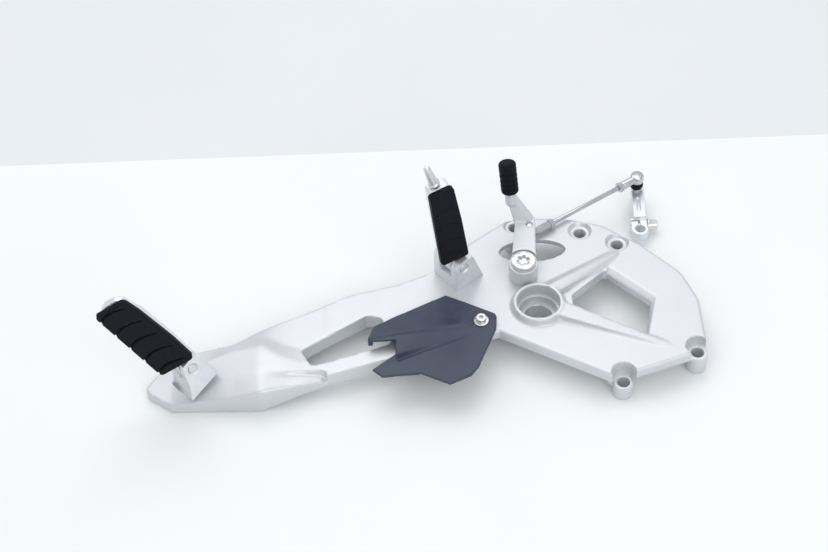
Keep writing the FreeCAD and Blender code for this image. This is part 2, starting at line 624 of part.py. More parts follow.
def peg(label, size, frame, twist, tongue):
    """Forged core with the tongue that turns on the fold pin, and the rubber pad fixed to it."""
    shape = bar(size.core, size.core_rounds, size.core_front, size.core_back, label + "_bar")
    root = box((-10, -size.core_front, S.shoulder), (10, 6.5, S.shoulder + 4), label + "_root")
    low, high = tongue
    tongue = fuse([cylinder(S.tongue_radius, high - low, (0, low, 0), (0, 1, 0)),
                   box((-S.tongue_radius, low, 0), (S.tongue_radius, high, S.shoulder + 2))],
                  label + "_tongue")
    tongue = moved(tongue, Placement(Vector(), turn((0, 0, 1), twist)))
    angle = math.radians(twist)
    pin_line = (math.sin(angle), -math.cos(angle), 0)
    tools = [cylinder(S.pin_radius + S.pin_fit, 60, [-30 * value for value in pin_line], pin_line),
             box((-40, -40, S.shoulder), (40, -size.core_front, 120), label + "_pad_room")]
    if size.pin_hole:
        tools.append(moved(cylinder(S.feeler_thread_radius + S.pin_fit, 30, (0, 0, -8.5)), size.pin_hole))
    for height in RUBBER_SCREWS:
        tools.append(cylinder(S.rubber_screw_radius + 0.1, 40, (size.shift, -20, height), (0, 1, 0)))
        tools.append(cylinder(S.rubber_screw_radius + 2.4, 10, (size.shift, size.core_back - 3, height),
                              (0, 1, 0)))
    solid = fuse([shape, root, tongue], label + "_core_solid")
    subpart(cut(solid, tools, label + "_core_cut"), label + "_core", frame)
    pad = bar(size.pad, size.pad_rounds, size.tread, -size.core_front - S.rubber_fit, label + "_pad")
    holes = [cylinder(S.rubber_screw_radius + 0.1, 30, (size.shift, 1.5 - size.tread, height), (0, 1, 0))
             for height in RUBBER_SCREWS]
    subpart(cut(pad, holes, label + "_rubber_cut"), label + "_rubber", frame)
    rubber_screws(label.replace("peg", "rubber") + "_screws", size, frame)


def rubber_screws(label, size, frame):
    """Two screws from the back of the core that clamp the rubber pad."""
    screws = []
    length = size.tread - 2 + size.core_back - 2
    for height in RUBBER_SCREWS:
        x, back = size.shift, size.core_back
        shank = cylinder(S.rubber_screw_radius, length, (x, 2 - size.tread, height), (0, 1, 0))
        head = cylinder(S.rubber_screw_radius + 2.0, 2.6, (x, back - 2.9, height), (0, 1, 0))
        drive = hexagon(5, 2, (x, back - 1.9, height), (0, 1, 0))
        screws.append(cut(fuse([shank, head]), [drive], "rubber_screw"))
    subpart(fuse(screws, label + "_all"), label, frame)


def feeler_seat():
    """The feeler pin's frame within the peg: on the end of the core, leaning to one side."""
    middle = Vector(float(S.feeler_offset), -0.4, float(S.shoulder + S.rider_length + S.rider_nose))
    return Placement(middle, turn((0, 1, 0), -S.feeler_tilt))


def feeler_pin():
    """Ground-warning pin screwed into the rider's peg end, set at an angle to the peg."""
    foot = S.feeler_collar_radius * math.tan(math.radians(S.feeler_tilt)) + 0.1
    profile = [(0, -8), (S.feeler_thread_radius, -8), (S.feeler_thread_radius, foot),
               (S.feeler_collar_radius, foot), (S.feeler_collar_radius, 3.6), (S.feeler_step_radius, 5.0),
               (S.feeler_radius, 20), (S.feeler_radius - 0.4, 23.5), (S.feeler_radius - 1.6, 25.2), (0, 25.6)]
    subpart(turned("feeler_pin_body", profile), "feeler_pin", F.rider_peg.multiply(feeler_seat()))


def rider_footrest():
    base = RIDER_BASE
    outline = [(-9.2, -base), (21.2, -base), (9.8, 8.2), (3.0, 9.4), (-5.0, 8.2), (-9.2, 2.6)]
    joint_block("rider_joint_block", outline, base, F.rider_joint, RIDER_BOLT_X)
    fold_pin("rider_peg_pin", F.rider_joint)
    pin_clip("rider_pin_clip", F.rider_joint)
    joint_bolt("rider_joint_bolt", F.rider_joint, RIDER_BOLT_X, base, S.rider_grip)
    return_spring()
    low, top = S.shoulder + 0.3, S.shoulder + S.rider_length
    pad = [(-14.4, low), (11.8, low), (10.9, 57), (8.6, top), (-13.6, top)]
    core = [(-12.2, S.shoulder), (9.8, S.shoulder), (9.0, 57), (6.8, top + S.rider_nose),
            (-11.8, top + S.rider_nose)]
    size = SimpleNamespace(pad=pad, pad_rounds={0: 3, 1: 3, 3: 3, 4: 3}, core=core, core_rounds={3: 3, 4: 3},
                           core_front=S.rider_core_front, core_back=S.rider_core_back, tread=S.rider_tread,
                           shift=S.rider_shift, pin_hole=feeler_seat())
    half = S.slot_width / 2 - S.slot_gap
    peg("rider_peg", size, F.rider_peg, S.rider_twist, (-half, half - S.spring_room))
    feeler_pin()


def pillion_footrest():
    base = S.pillion_pad
    outline = [(-19.9, -base), (12.1, -base), (11.9, 4.5), (6, 9.2), (-5.0, 8.4), (-9.2, 0), (-11.5, -8)]
    joint_block("pillion_joint_block", outline, base, F.pillion_joint, PILLION_BOLT_X)
    fold_pin("pillion_peg_pin", F.pillion_joint)
    pin_clip("pillion_pin_clip", F.pillion_joint)
    joint_bolt("pillion_joint_bolt", F.pillion_joint, PILLION_BOLT_X, base, S.pillion_grip)
    low, top = S.shoulder + 0.3, S.shoulder + S.pillion_length
    nose = top + S.pillion_nose
    pad = [(-17.4, low), (16.2, low), (16.2, 38), (13.2, 81), (10.4, top), (-18.4, top)]
    core = [(-16.2, S.shoulder), (15.6, S.shoulder), (15.6, 38), (13.8, 77), (10.9, 86), (8.6, nose - 4),
            (3.5, nose), (-6, nose), (-12.5, nose - 3.2), (-16.6, 90)]
    size = SimpleNamespace(pad=pad, pad_rounds={0: 3, 1: 5, 2: 30, 3: 30, 4: 3.5, 5: 3.5}, core=core,
                           core_rounds={5: 3, 6: 4, 8: 5}, core_front=S.pillion_core_front,
                           core_back=S.pillion_core_back, tread=S.pillion_tread, shift=S.pillion_shift,
                           pin_hole=None)
    half = S.slot_width / 2 - S.slot_gap
    peg("pillion_peg", size, F.pillion_peg, S.pillion_twist, (S.washer_room - half, half))
    low = S.slot_gap / 2 - S.slot_width / 2
    profile = [(S.pin_radius + 0.2, low), (6.0, low), (8.2, low + 0.6), (8.2, low + 1.1), (6.0, low + 0.5),
               (S.pin_radius + 0.2, low + 0.5)]
    along_y = Placement(Vector(), Rotation(Vector(1, 0, 0), -90))
    subpart(turned("washer_ring", profile), "pillion_spring_washer", F.pillion_joint.multiply(along_y))


# ---------------------------------------------------------------- shift lever

def shift_lever():
    x, y = LEVER_PIVOT
    hub = cylinder(S.hub_radius, S.hub_top - S.hub_bottom, (x, y, S.hub_bottom), name="lever_hub")
    flat = loft([[(x - 9.5, y + 6, S.lever_under), (x + 11.5, y + 2, S.lever_under),
                  (5, 86, S.lever_under), (-12.5, 87, S.lever_under)],
                 [(x - 9.5, y + 6, S.lever_top), (x + 11.5, y + 2, S.lever_top),
                  (5, 86, S.lever_top), (-12.5, 87, S.lever_top)]], "lever_flat")
    rise = loft([[(-12.5, 80, S.lever_under), (5, 79, S.lever_under), (5, 88, 48), (-12.5, 89, 48)],
                 [(-19.5, 87, 70), (-11.5, 86.5, 70), (-11.5, 95, 72.4), (-19.5, 95.5, 72.4)]], "lever_rise")
    head = moved(cylinder(5.3, 9, name="lever_head"), toe_frame().multiply(at(0, 0, -6)))
    gusset = loft([[(-17, 46, 31), (-3, 46, 31), (-3, 46, 43), (-17, 46, 43)],
                   [(-15, 66, 40.5), (-5, 66, 40.5), (-5, 66, 43), (-15, 66, 43)]], "lever_gusset")
    solid = fuse([hub, flat, rise, head, gusset], "lever_solid")
    spotface = cylinder(S.pivot_head_radius + 1.6, 20, (x, y, S.hub_top), name="lever_spotface")
    bore = cylinder(S.bush_radius + S.bush_fit, 40, (x, y, S.hub_bottom - 5))
    stud_hole = cylinder(S.stud_radius + S.pin_fit, 20, (*REAR_BALL, S.lever_under - 1))
    toe_hole = moved(cylinder(S.toe_pin_radius + S.pin_fit, 30), toe_frame().multiply(at(0, 0, -8)))
    subpart(cut(solid, [spotface, bore, stud_hole, toe_hole], "lever_cut"), "shift_lever")

    bush = [(S.shoulder_radius + S.bush_fit, S.hub_bottom + 0.5), (S.bush_radius, S.hub_bottom + 0.5),
            (S.bush_radius, S.hub_top - 0.3), (S.shoulder_radius + S.bush_fit, S.hub_top - 0.3)]
    subpart(turned("bush_body", bush), "lever_bush", at(x, y, 0))
    washer = [(S.shoulder_radius + 0.2, S.plate_top + 0.05), (S.washer_radius, S.plate_top + 0.05),
              (S.washer_radius, S.plate_top + S.washer_thickness),
              (S.shoulder_radius + 0.2, S.plate_top + S.washer_thickness)]
    subpart(turned("washer_body", washer), "lever_washer", at(x, y, 0))
    top = S.hub_top + 0.15
    pivot = [(0, 9), (S.thread_radius - 1, 9), (S.thread_radius, 10), (S.thread_radius, S.plate_top),
             (S.shoulder_radius, S.plate_top), (S.shoulder_radius, top), (S.pivot_head_radius, top),
             (S.pivot_head_radius, top + S.pivot_head_height - 0.8),
             (S.pivot_head_radius - 0.8, top + S.pivot_head_height), (0, top + S.pivot_head_height)]
    drive_floor = top + S.pivot_head_height - 3.2
    lobes = [cylinder(4.1, 5, (0, 0, drive_floor))]
    for step in range(6):
        angle = math.radians(60 * step + 15)
        lobes.append(cylinder(1.55, 5, (4.3 * math.cos(angle), 4.3 * math.sin(angle), drive_floor)))
    subpart(cut(turned("pivot_bolt_body", pivot), lobes, "pivot_bolt_cut"), "lever_pivot_bolt", at(x, y, 0))


def toe_frame():
    """Frame of the toe peg: +Z along the peg from the lever's upper end."""
    lean = turn((1, 0, 0), -S.toe_lean).multiply(turn((0, 1, 0), -S.toe_tilt))
    return Placement(Vector(-16.4, 90.8, 71.6), lean)


def toe_peg():
    length = S.toe_rubber_length
    pin = [(0, -7.5), (S.toe_pin_radius, -7.5), (S.toe_pin_radius, 3.2), (5.4, 3.2), (5.4, 4.8),
           (S.toe_pin_radius, 4.8), (S.toe_pin_radius, length + 2), (S.toe_pin_radius - 1, length + 3),
           (0, length + 3)]
    subpart(turned("toe_pin_body", pin), "toe_pin", toe_frame())
    radius = S.toe_rubber_radius
    inner = S.toe_pin_radius + 0.05
    rubber = [(inner, 5), (radius - 1, 5), (radius, 6), (radius, length + 4), (radius - 1.2, length + 5.2),
              (0, length + 5.2), (0, length + 3.1), (inner, length + 3.1)]
    subpart(turned("toe_rubber_body", rubber), "toe_rubber", toe_frame())


# ---------------------------------------------------------------- linkage

def ball_stud(label, reach, thread, frame):
    """Ball on a neck, a flange that seats against the lever, and a riveted shank through it."""
    neck = S.stud_radius - 0.7
    flange = reach - S.pin_fit
    profile = [(0, -S.ball_radius), (2.2, -3.35), (3.4, -2.1), (S.ball_radius, 0), (3.4, 2.1), (2.2, 3.35),
               (neck, 4.2), (neck, flange - 1.7), (4.6, flange - 1.7), (4.6, flange), (S.stud_radius, flange),
               (S.stud_radius, flange + thread), (0, flange + thread)]
    subpart(turned(label + "_body", profile), label, frame)


def ball_socket(label, start, outward, side, shank, frame):
    """Rod end: a round housing over the ball, open on the stud's side, with a threaded shank."""
    reach, half = S.socket_radius, S.socket_half
    housing = common([sphere(reach + 0.6, (start, 0, 0)), cylinder(reach, 2 * half, (start, 0, -half))])
    neck = cylinder(S.shank_radius, shank, (start, 0, 0), (outward, 0, 0))
    room = sphere(S.ball_radius + S.socket_fit, (start, 0, 0))
    throat = cone(3.2, 5.0, half - 1.0, (start, 0, 1.6 * side), (0, 0, side))
    thread = cylinder(S.rod_radius + S.pin_fit, 12, (start + outward * (shank - 11), 0, 0), (outward, 0, 0))
    subpart(cut(fuse([housing, neck]), [room, throat, thread], label + "_cut"), label, frame)


def linkage():
    """Threaded rod with a rod end and a lock nut at each end, between the two ball studs."""
    rear = Vector(*REAR_BALL, float(S.rear_ball_height))
    front = Vector(*FRONT_BALL, float(S.front_ball_height))
    run = front.sub(rear)
    reach = run.Length
    heading = math.degrees(math.atan2(run.y, run.x))
    fall = math.degrees(math.atan2(-run.z, math.hypot(run.x, run.y)))
    rod_frame = Placement(rear, turn((0, 0, 1), heading).multiply(turn((0, 1, 0), fall)))
    over = Rotation(Vector(1, 0, 0), 180)

    ball_stud("rear_ball_stud", S.lever_under - S.rear_ball_height, 7.6, Placement(rear, Rotation()))
    ball_stud("front_ball_stud", S.front_ball_height - S.gear_lever_top, 10.4, Placement(front, over))
    ball_socket("rear_ball_socket", 0, 1, 1, S.rear_shank, rod_frame)
    ball_socket("front_ball_socket", reach, -1, -1, S.front_shank, rod_frame)
    rear_boot = [(2.4, 4.5), (S.boot_radius - 0.4, 4.5), (4.8, 4.9), (2.4, 4.9)]
    front_boot = [(2.4, 4.6), (S.boot_radius - 0.4, 4.6), (S.boot_radius, 6.0), (S.boot_radius, 9.0),
                  (4.9, 11.4), (2.4, 11.4)]
    subpart(turned("rear_boot_body", rear_boot), "rear_dust_boot", Placement(rear, Rotation()))
    subpart(turned("front_boot_body", front_boot), "front_dust_boot", Placement(front, over))

    rod_end = 13.0
    rod = cylinder(S.rod_radius, reach - 2 * rod_end + 5, (rod_end, 0, 0), (1, 0, 0), "rod")
    subpart(moved(rod, rod_frame), "shift_rod")
    nuts = []
    for start in (S.rear_shank + 0.1, reach - S.front_shank - 0.1 - S.nut_thickness):
        blank = hexagon(S.nut_across_corners, S.nut_thickness, (start, 0, 0), (1, 0, 0))
        hole = cylinder(S.rod_radius + S.pin_fit, 10, (start - 2, 0, 0), (1, 0, 0))
        nuts.append(cut(blank, [hole], "nut"))
    subpart(fuse(nuts, "nuts"), "rod_lock_nuts", rod_frame)


def gearbox_lever():
    """Short lever clamped on the gearbox shaft: hub with a cross slit, raised arm, ball stud at its end."""
    x, y = GEAR_SHAFT
    ball_x, ball_y = FRONT_BALL
    top, bottom, hub, foot = S.gear_lever_top, S.gear_arm_bottom, S.gear_hub_top, S.gear_hub_bottom
    pinch_y = y + S.pinch_offset
    root = pinch_y + 3.5
    eye_x = ball_x + 1.4
    arm_bar = extrude([(x - 4.6, root + 0.6), (x + 7.0, root + 0.6), (eye_x + 6.0, ball_y),
                       (eye_x - 6.0, ball_y)], bottom, top - bottom, name="gear_arm")
    solids = [cylinder(S.gear_hub_radius, hub - foot, (x, y, foot), name="gear_hub"), arm_bar,
              cylinder(6.0, top - bottom, (eye_x, ball_y, bottom), name="gear_eye"),
              box((x - S.gear_hub_radius + 0.4, y, foot), (x + S.gear_hub_radius - 0.4, root + 2.2, hub),
                  "gear_clamp")]
    groove = extrude([(x, root + 9), (x + 3.4, root + 9), (ball_x + 1.4, ball_y - 12),
                      (ball_x - 1.4, ball_y - 12)], top - 1.6, 4, name="gear_groove")
    slit = S.clamp_slit
    tools = [groove, cylinder(S.gear_bore_radius, 40, (x, y, -1)),
             box((x - slit / 2, y, -1), (x + slit / 2, root, 30), "gear_slit"),
             box((x - 12, root - slit, -1), (x + slit / 2, root, 30), "gear_cross_slit"),
             cylinder(S.pinch_radius + 0.1, 30, (x - 14, pinch_y, (hub + foot) / 2), (1, 0, 0)),
             cylinder(S.stud_radius + S.pin_fit, 30, (ball_x, ball_y, bottom - 2))]
    subpart(cut(fuse(solids, "gear_solid"), tools, "gear_cut"), "gearbox_lever")
    head = S.pinch_head_radius
    profile = [(0, -13.5), (S.pinch_radius, -13.5), (S.pinch_radius, 0.3), (head + 1.2, 0.3),
               (head + 1.2, 1.6), (head, 1.6), (head, 8.6), (head - 0.6, 9.2), (0, 9.2)]
    place = Placement(Vector(x + float(S.gear_hub_radius) - 0.4, float(pinch_y), float(hub + foot) / 2),
                      Rotation(Vector(0, 1, 0), 90))
    socket = hexagon(5.8, 4, (0, 0, 6.0))
    subpart(cut(turned("pinch_body", profile), [socket], "pinch_cut"), "pinch_bolt", place)


# ---------------------------------------------------------------- heel guard

# Cross-sections of the guard's outer face, from rear to front. A row is a place in X and seven points (Y, Z):
# far edge, crease, foot of the crease, top of the channel wall, channel floor, lower ridge, near edge.
GUARD_STATIONS = [
    (-152, [(22, 18.5), (-32.6, 37.4), (-35.2, 36.4), (-38.5, 36.2), (-44, 31), (-65.2, 31.6), (-92, 30.4)]),
    (-126, [(22, 26.6), (-29.4, 38.3), (-32, 37), (-38.5, 37), (-44, 31), (-56, 31.9), (-92, 30.9)]),
    (-124.4, [(22, 26.8), (-29.3, 38.4), (-31.9, 37), (-52.2, 37.9), (-54, 31), (-55.6, 32), (-92, 30.9)]),
    (-111, [(22, 28.9), (-27.7, 38.2), (-30.3, 36.8), (-46.6, 36.2), (-49.4, 31.2), (-50.8, 32.3), (-92, 31.2)]),
    (-95, [(22, 30.6), (-25.8, 37.8), (-28.4, 36.2), (-41.6, 34.2), (-43.9, 31.6), (-45.2, 32.8), (-92, 31.4)]),
    (-80, [(22, 31), (-24, 37.4), (-26.6, 35.4), (-37, 32.9), (-38.7, 32.2), (-39.9, 33.2), (-92, 31.6)]),
    (-66, [(22, 29.7), (-22.4, 36.6), (-24.6, 34), (-30.5, 33.5), (-32.5, 33.3), (-35, 33.4), (-92, 31.8)]),
    (-52, [(22, 30.1), (-19.5, 33.6), (-22, 33.4), (-26, 33.3), (-28, 33.3), (-30, 33.2), (-92, 31.8)]),
    (-36, [(22, 28.4), (-17, 32.6), (-20, 32.5), (-24, 32.5), (-26, 32.4), (-28, 32.4), (-92, 31.8)]),
]
GUARD_OUTLINE = [(-79.5, 15.5), (-38.5, -8.5), (-37.2, -12.5), (-38.8, -26), (-56.4, -66), (-63, -74.5),
                 (-81.5, -82.5), (-105, -69.5), (-138, -70.5), (-146, -62.5), (-126, -47), (-124.5, -35.5),
                 (-149, -35), (-143.5, -16.0)]


def guard_face(drop, name):
    """Solid under the guard's outer face, lowered by a wall thickness."""
    sections = []
    for x, over in GUARD_STATIONS:
        top = [(x, y, z - float(drop)) for y, z in over]
        sections.append(top + [(x, over[-1][0], 0), (x, over[0][0], 0)])
    return loft(sections, name)


def heel_guard():
    """Moulded guard over the root of the arm: a shell with a skirt all round, on three posts."""
    low = S.guard_underside
    shell = common([extrude(GUARD_OUTLINE, low, 12, name="guard_plan"), guard_face(0, "guard_face")],
                   "guard_shell")
    inner = [(-79.5, 12.4), (-42, -10.3), (-41.5, -25.2), (-59, -65), (-65, -72), (-81.5, -79),
             (-104, -66.7), (-136.5, -67.6), (-141, -62.5), (-123, -49), (-121.5, -38), (-145.5, -37.8),
             (-141.2, -17.6)]
    hollow = common([extrude(inner, low - 1, 12, name="guard_room"),
                     guard_face(S.guard_thickness, "guard_inner_face")], "guard_hollow")
    posts = [cylinder(6.8, S.guard_seat - S.plate_top - 0.1, (*GUARD_SCREW, S.plate_top + 0.1),
                      name="guard_post")]
    for (x, y), top in zip(GUARD_REAR_SCREWS, REAR_POST_TOPS):
        posts.append(cylinder(4.5, top - 28.1, (x, y, 28.1), name="guard_rear_post"))
    tools = [cylinder(S.collar_radius + 0.1, 20, (*GUARD_SCREW, S.plate_top)),
             cylinder(S.collar_radius + 2.4, 20, (*GUARD_SCREW, S.guard_seat))]
    tools += [cylinder(S.guard_screw_radius + 0.05, 4.4, (x, y, 27)) for x, y in GUARD_REAR_SCREWS]
    solid = fuse([cut(shell, [hollow], "guard_walls")] + posts, "guard_solid")
    subpart(cut(solid, tools, "guard_cut"), "heel_guard")
    seat = S.guard_seat - S.plate_top
    collar = [(S.guard_screw_radius + 0.1, 0.05), (S.collar_radius, 0.05), (S.collar_radius, seat + 0.05),
              (S.collar_radius + 1.8, seat + 0.05), (S.collar_radius + 1.8, seat + 1.0),
              (S.guard_screw_radius + 0.1, seat + 1.0)]
    subpart(turned("collar_body", collar), "heel_guard_collar", at(*GUARD_SCREW, S.plate_top))
    head = seat + 1.05
    screw = [(0, -8), (S.guard_screw_radius, -8), (S.guard_screw_radius, head), (4.5, head),
             (4.5, head + 3.6), (3.9, head + 4.2), (0, head + 4.2)]
    socket = hexagon(4.6, 4, (0, 0, head + 1.7))
    subpart(cut(turned("guard_screw_body", screw), [socket], "guard_screw_cut"), "heel_guard_screw",
            at(*GUARD_SCREW, S.plate_top))
    screws = []
    for x, y in GUARD_REAR_SCREWS:
        shank = cylinder(S.guard_screw_radius, 12.2, (x, y, 19.0))
        head = cylinder(4.4, 3, (x, y, 16.0))
        drive = hexagon(4.6, 2, (x, y, 15.9))
        screws.append(cut(fuse([shank, head]), [drive], "rear_screw"))
    subpart(fuse(screws, "rear_screws"), "heel_guard_rear_screws")


# ---------------------------------------------------------------- build, check, write

def check():
    """Stop on any failed object or bad sub-part."""
    DOC.recompute()
    failed = [item.Label for item in DOC.Objects if {"Invalid", "Error"} & set(item.State)]
    if failed:
        raise RuntimeError(f"objects failed: {failed}")
    for item in SUBPARTS:
        if item.Shape.isNull() or not item.Shape.isValid() or not item.Shape.Solids:
            raise RuntimeError(f"bad shape: {item.Label}")


def write():
    os.makedirs("parts", exist_ok=True)
    for item in SUBPARTS:
        box_of = item.Shape.BoundBox
        item.Shape.exportStep(f"parts/{item.Label}.step")
        print(f"{item.Label:26s} solids {len(item.Shape.Solids)} volume {item.Shape.Volume:10.0f}"
              f" x {box_of.XMin:7.1f} {box_of.XMax:7.1f} y {box_of.YMin:7.1f} {box_of.YMax:7.1f}"
              f" z {box_of.ZMin:6.1f} {box_of.ZMax:6.1f}")


casting()
rider_footrest()
pillion_footrest()
shift_lever()
toe_peg()
linkage()
gearbox_lever()
heel_guard()
check()
write()
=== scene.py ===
import json
import math

import bmesh
import bpy
from mathutils import Matrix, Vector


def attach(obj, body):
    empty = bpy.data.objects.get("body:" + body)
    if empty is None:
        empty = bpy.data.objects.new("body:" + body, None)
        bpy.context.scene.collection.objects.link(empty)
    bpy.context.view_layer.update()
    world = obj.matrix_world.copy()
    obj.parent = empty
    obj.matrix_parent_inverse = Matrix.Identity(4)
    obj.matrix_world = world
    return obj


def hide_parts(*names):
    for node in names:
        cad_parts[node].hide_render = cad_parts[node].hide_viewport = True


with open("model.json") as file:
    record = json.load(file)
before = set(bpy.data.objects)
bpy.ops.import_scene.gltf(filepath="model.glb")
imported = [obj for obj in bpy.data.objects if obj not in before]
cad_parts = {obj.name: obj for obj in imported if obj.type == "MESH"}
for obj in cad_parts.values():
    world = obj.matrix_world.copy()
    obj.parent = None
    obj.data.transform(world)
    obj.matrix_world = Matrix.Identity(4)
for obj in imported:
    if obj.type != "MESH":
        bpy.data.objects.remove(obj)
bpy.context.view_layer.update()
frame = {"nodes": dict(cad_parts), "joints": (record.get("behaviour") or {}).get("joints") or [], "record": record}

# Left footrest plate of a motorcycle: visible pieces, finishes, table and light.
# Lengths in metres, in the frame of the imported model; MM turns millimetres into metres.

MM = 0.001
JOINTS = {joint["name"]: joint for joint in frame["joints"]}
BODY_OF = {node: body for body, nodes in frame["record"]["behaviour"]["bodies"].items() for node in nodes}
SLOT_OF = {entry["node"]: entry["material_slot"] for entry in frame["record"]["subparts"]}


# ---------------------------------------------------------------- node graphs

class Graph:
    """A material's node graph with one principled shader."""

    def __init__(self, name):
        self.material = bpy.data.materials.new(name)
        self.material.use_nodes = True
        self.tree = self.material.node_tree
        self.tree.nodes.clear()
        output = self.tree.nodes.new("ShaderNodeOutputMaterial")
        self.shader = self.tree.nodes.new("ShaderNodeBsdfPrincipled")
        self.tree.links.new(self.shader.outputs[0], output.inputs["Surface"])
        self.place = self.tree.nodes.new("ShaderNodeTexCoord").outputs["Object"]

    def node(self, kind, settings=None, **inputs):
        """A node with some settings and with its inputs set or linked."""
        item = self.tree.nodes.new(kind)
        for key, value in (settings or {}).items():
            setattr(item, key, value)
        for key, value in inputs.items():
            self.feed(item.inputs[key.replace("_", " ")], value)
        return item

    def feed(self, socket, value):
        """Link an output into a socket, or set the socket to a constant."""
        if isinstance(value, bpy.types.NodeSocket):
            self.tree.links.new(value, socket)
        else:
            socket.default_value = value

    def noise(self, scale, detail=3.0, roughness=0.55, stretch=(1, 1, 1)):
        """Noise from 0 to 1, with a scale per metre."""
        mapped = self.node("ShaderNodeMapping", Vector=self.place, Scale=stretch).outputs[0]
        return self.node("ShaderNodeTexNoise", Vector=mapped, Scale=scale, Detail=detail,
                         Roughness=roughness).outputs["Fac"]

    def span(self, value, low, high, start=0.0, end=1.0):
        """Map low...high to start...end, clamped."""
        item = self.node("ShaderNodeMapRange")
        for socket, number in zip(("Value", "From Min", "From Max", "To Min", "To Max"),
                                  (value, low, high, start, end)):
            self.feed(item.inputs[socket], number)
        return item.outputs[0]

    def blend(self, factor, first, second):
        """Colour between two colours."""
        item = self.node("ShaderNodeMix", {"data_type": "RGBA"})
        for number, value in ((0, factor), (6, first), (7, second)):
            self.feed(item.inputs[number], value)
        return item.outputs[2]

    def math(self, operation, first, second):
        item = self.node("ShaderNodeMath", {"operation": operation})
        self.feed(item.inputs[0], first)
        self.feed(item.inputs[1], second)
        return item.outputs[0]

    def bump(self, height, depth, normal=None):
        """Bump whose distance is a depth in metres."""
        item = self.node("ShaderNodeBump", Strength=1.0, Distance=depth, Height=height)
        if normal is not None:
            self.feed(item.inputs["Normal"], normal)
        return item.outputs[0]

    def finish(self, **inputs):
        """The material, once the shader's inputs are set or linked."""
        for key, value in inputs.items():
            self.feed(self.shader.inputs[key.replace("_", " ")], value)
        return self.material


def colour(red, green, blue):
    """Opaque linear colour."""
    return (red, green, blue, 1.0)


def silver_paint():
    """Silver lacquer on a casting: fine metallic flake, slight orange peel, a little handling dirt."""
    g = Graph("silver_paint")
    peel = g.noise(520, 2.0)
    flake = g.noise(5200, 1.0)
    cloud = g.noise(22, 4.0)
    tone = g.blend(g.span(cloud, 0.3, 0.7), colour(0.62, 0.635, 0.66), colour(0.69, 0.705, 0.73))
    tone = g.blend(g.span(flake, 0.58, 0.78, 0.0, 0.22), tone, colour(0.86, 0.87, 0.89))
    stain = g.span(g.noise(90, 5.0, 0.7), 0.62, 0.80, 0.0, 0.16)
    tone = g.blend(stain, tone, colour(0.50, 0.51, 0.52))
    rough = g.math("ADD", g.span(cloud, 0.3, 0.7, 0.38, 0.48), g.span(flake, 0.3, 0.7, -0.03, 0.05))
    normal = g.bump(flake, 0.010 * MM, g.bump(peel, 0.055 * MM))
    return g.finish(Base_Color=tone, Metallic=0.55, Roughness=rough, Normal=normal, Coat_Weight=0.12,
                    Coat_Roughness=0.25)


def machined_alloy():
    """Bright bored and faced surfaces inside the casting's holes."""
    g = Graph("machined_alloy")
    rings = g.noise(160, 3.0, 0.6, (1, 1, 45))
    rough = g.span(rings, 0.3, 0.7, 0.16, 0.32)
    tone = g.blend(g.noise(60), colour(0.80, 0.81, 0.82), colour(0.88, 0.88, 0.89))
    return g.finish(Base_Color=tone, Metallic=0.92, Roughness=rough, Normal=g.bump(rings, 0.012 * MM))


def forged_satin():
    """Blasted and satin-plated forging."""
    g = Graph("forged_satin")
    grain = g.noise(2600, 2.0)
    wave = g.noise(160, 3.0)
    tone = g.blend(g.span(wave, 0.3, 0.7), colour(0.74, 0.76, 0.80), colour(0.82, 0.84, 0.88))
    scuff = g.span(g.noise(110, 5.0, 0.75, (1, 1, 5)), 0.62, 0.74, 0.0, 0.35)
    tone = g.blend(scuff, tone, colour(0.45, 0.46, 0.48))
    rough = g.math("ADD", g.span(wave, 0.3, 0.7, 0.36, 0.46), g.math("MULTIPLY", scuff, 0.3))
    normal = g.bump(grain, 0.012 * MM, g.bump(wave, 0.05 * MM))
    return g.finish(Base_Color=tone, Metallic=0.75, Roughness=rough, Normal=normal)


def zinc_plate():
    """Clear zinc plating: mottled, with a faint warm and cool play."""
    g = Graph("zinc_plate")
    mottle = g.noise(700, 3.0)
    tint = g.noise(140, 2.0)
    tone = g.blend(g.span(tint, 0.35, 0.65), colour(0.74, 0.73, 0.68), colour(0.68, 0.70, 0.73))
    rough = g.span(mottle, 0.3, 0.7, 0.24, 0.38)
    return g.finish(Base_Color=tone, Metallic=0.9, Roughness=rough, Normal=g.bump(mottle, 0.010 * MM))


def bright_plate():
    """Polished plating of the shift linkage, with fine scratches along the rod."""
    g = Graph("bright_plate")
    scratch = g.noise(420, 4.0, 0.7, (1, 6, 6))
    haze = g.noise(90, 3.0)
    tone = g.blend(g.span(haze, 0.3, 0.7), colour(0.50, 0.51, 0.53), colour(0.62, 0.63, 0.65))
    rough = g.span(scratch, 0.3, 0.75, 0.12, 0.28)
    return g.finish(Base_Color=tone, Metallic=1.0, Roughness=rough, Normal=g.bump(scratch, 0.006 * MM))


def moulded_rubber():
    """Black moulded rubber with a fine grain and a trace of dust."""
    g = Graph("moulded_rubber")
    grain = g.noise(3200, 2.0)
    wave = g.noise(210, 4.0, 0.6)
    dust = g.span(g.noise(320, 6.0, 0.75), 0.60, 0.78, 0.0, 0.22)
    tone = g.blend(g.span(wave, 0.3, 0.7), colour(0.004, 0.005, 0.008), colour(0.008, 0.0095, 0.014))
    tone = g.blend(dust, tone, colour(0.045, 0.048, 0.055))
    rough = g.math("ADD", g.span(wave, 0.3, 0.7, 0.50, 0.64), g.math("MULTIPLY", dust, 0.5))
    normal = g.bump(grain, 0.025 * MM, g.bump(wave, 0.06 * MM))
    return g.finish(Base_Color=tone, Roughness=rough, Normal=normal, Specular_IOR_Level=0.12)


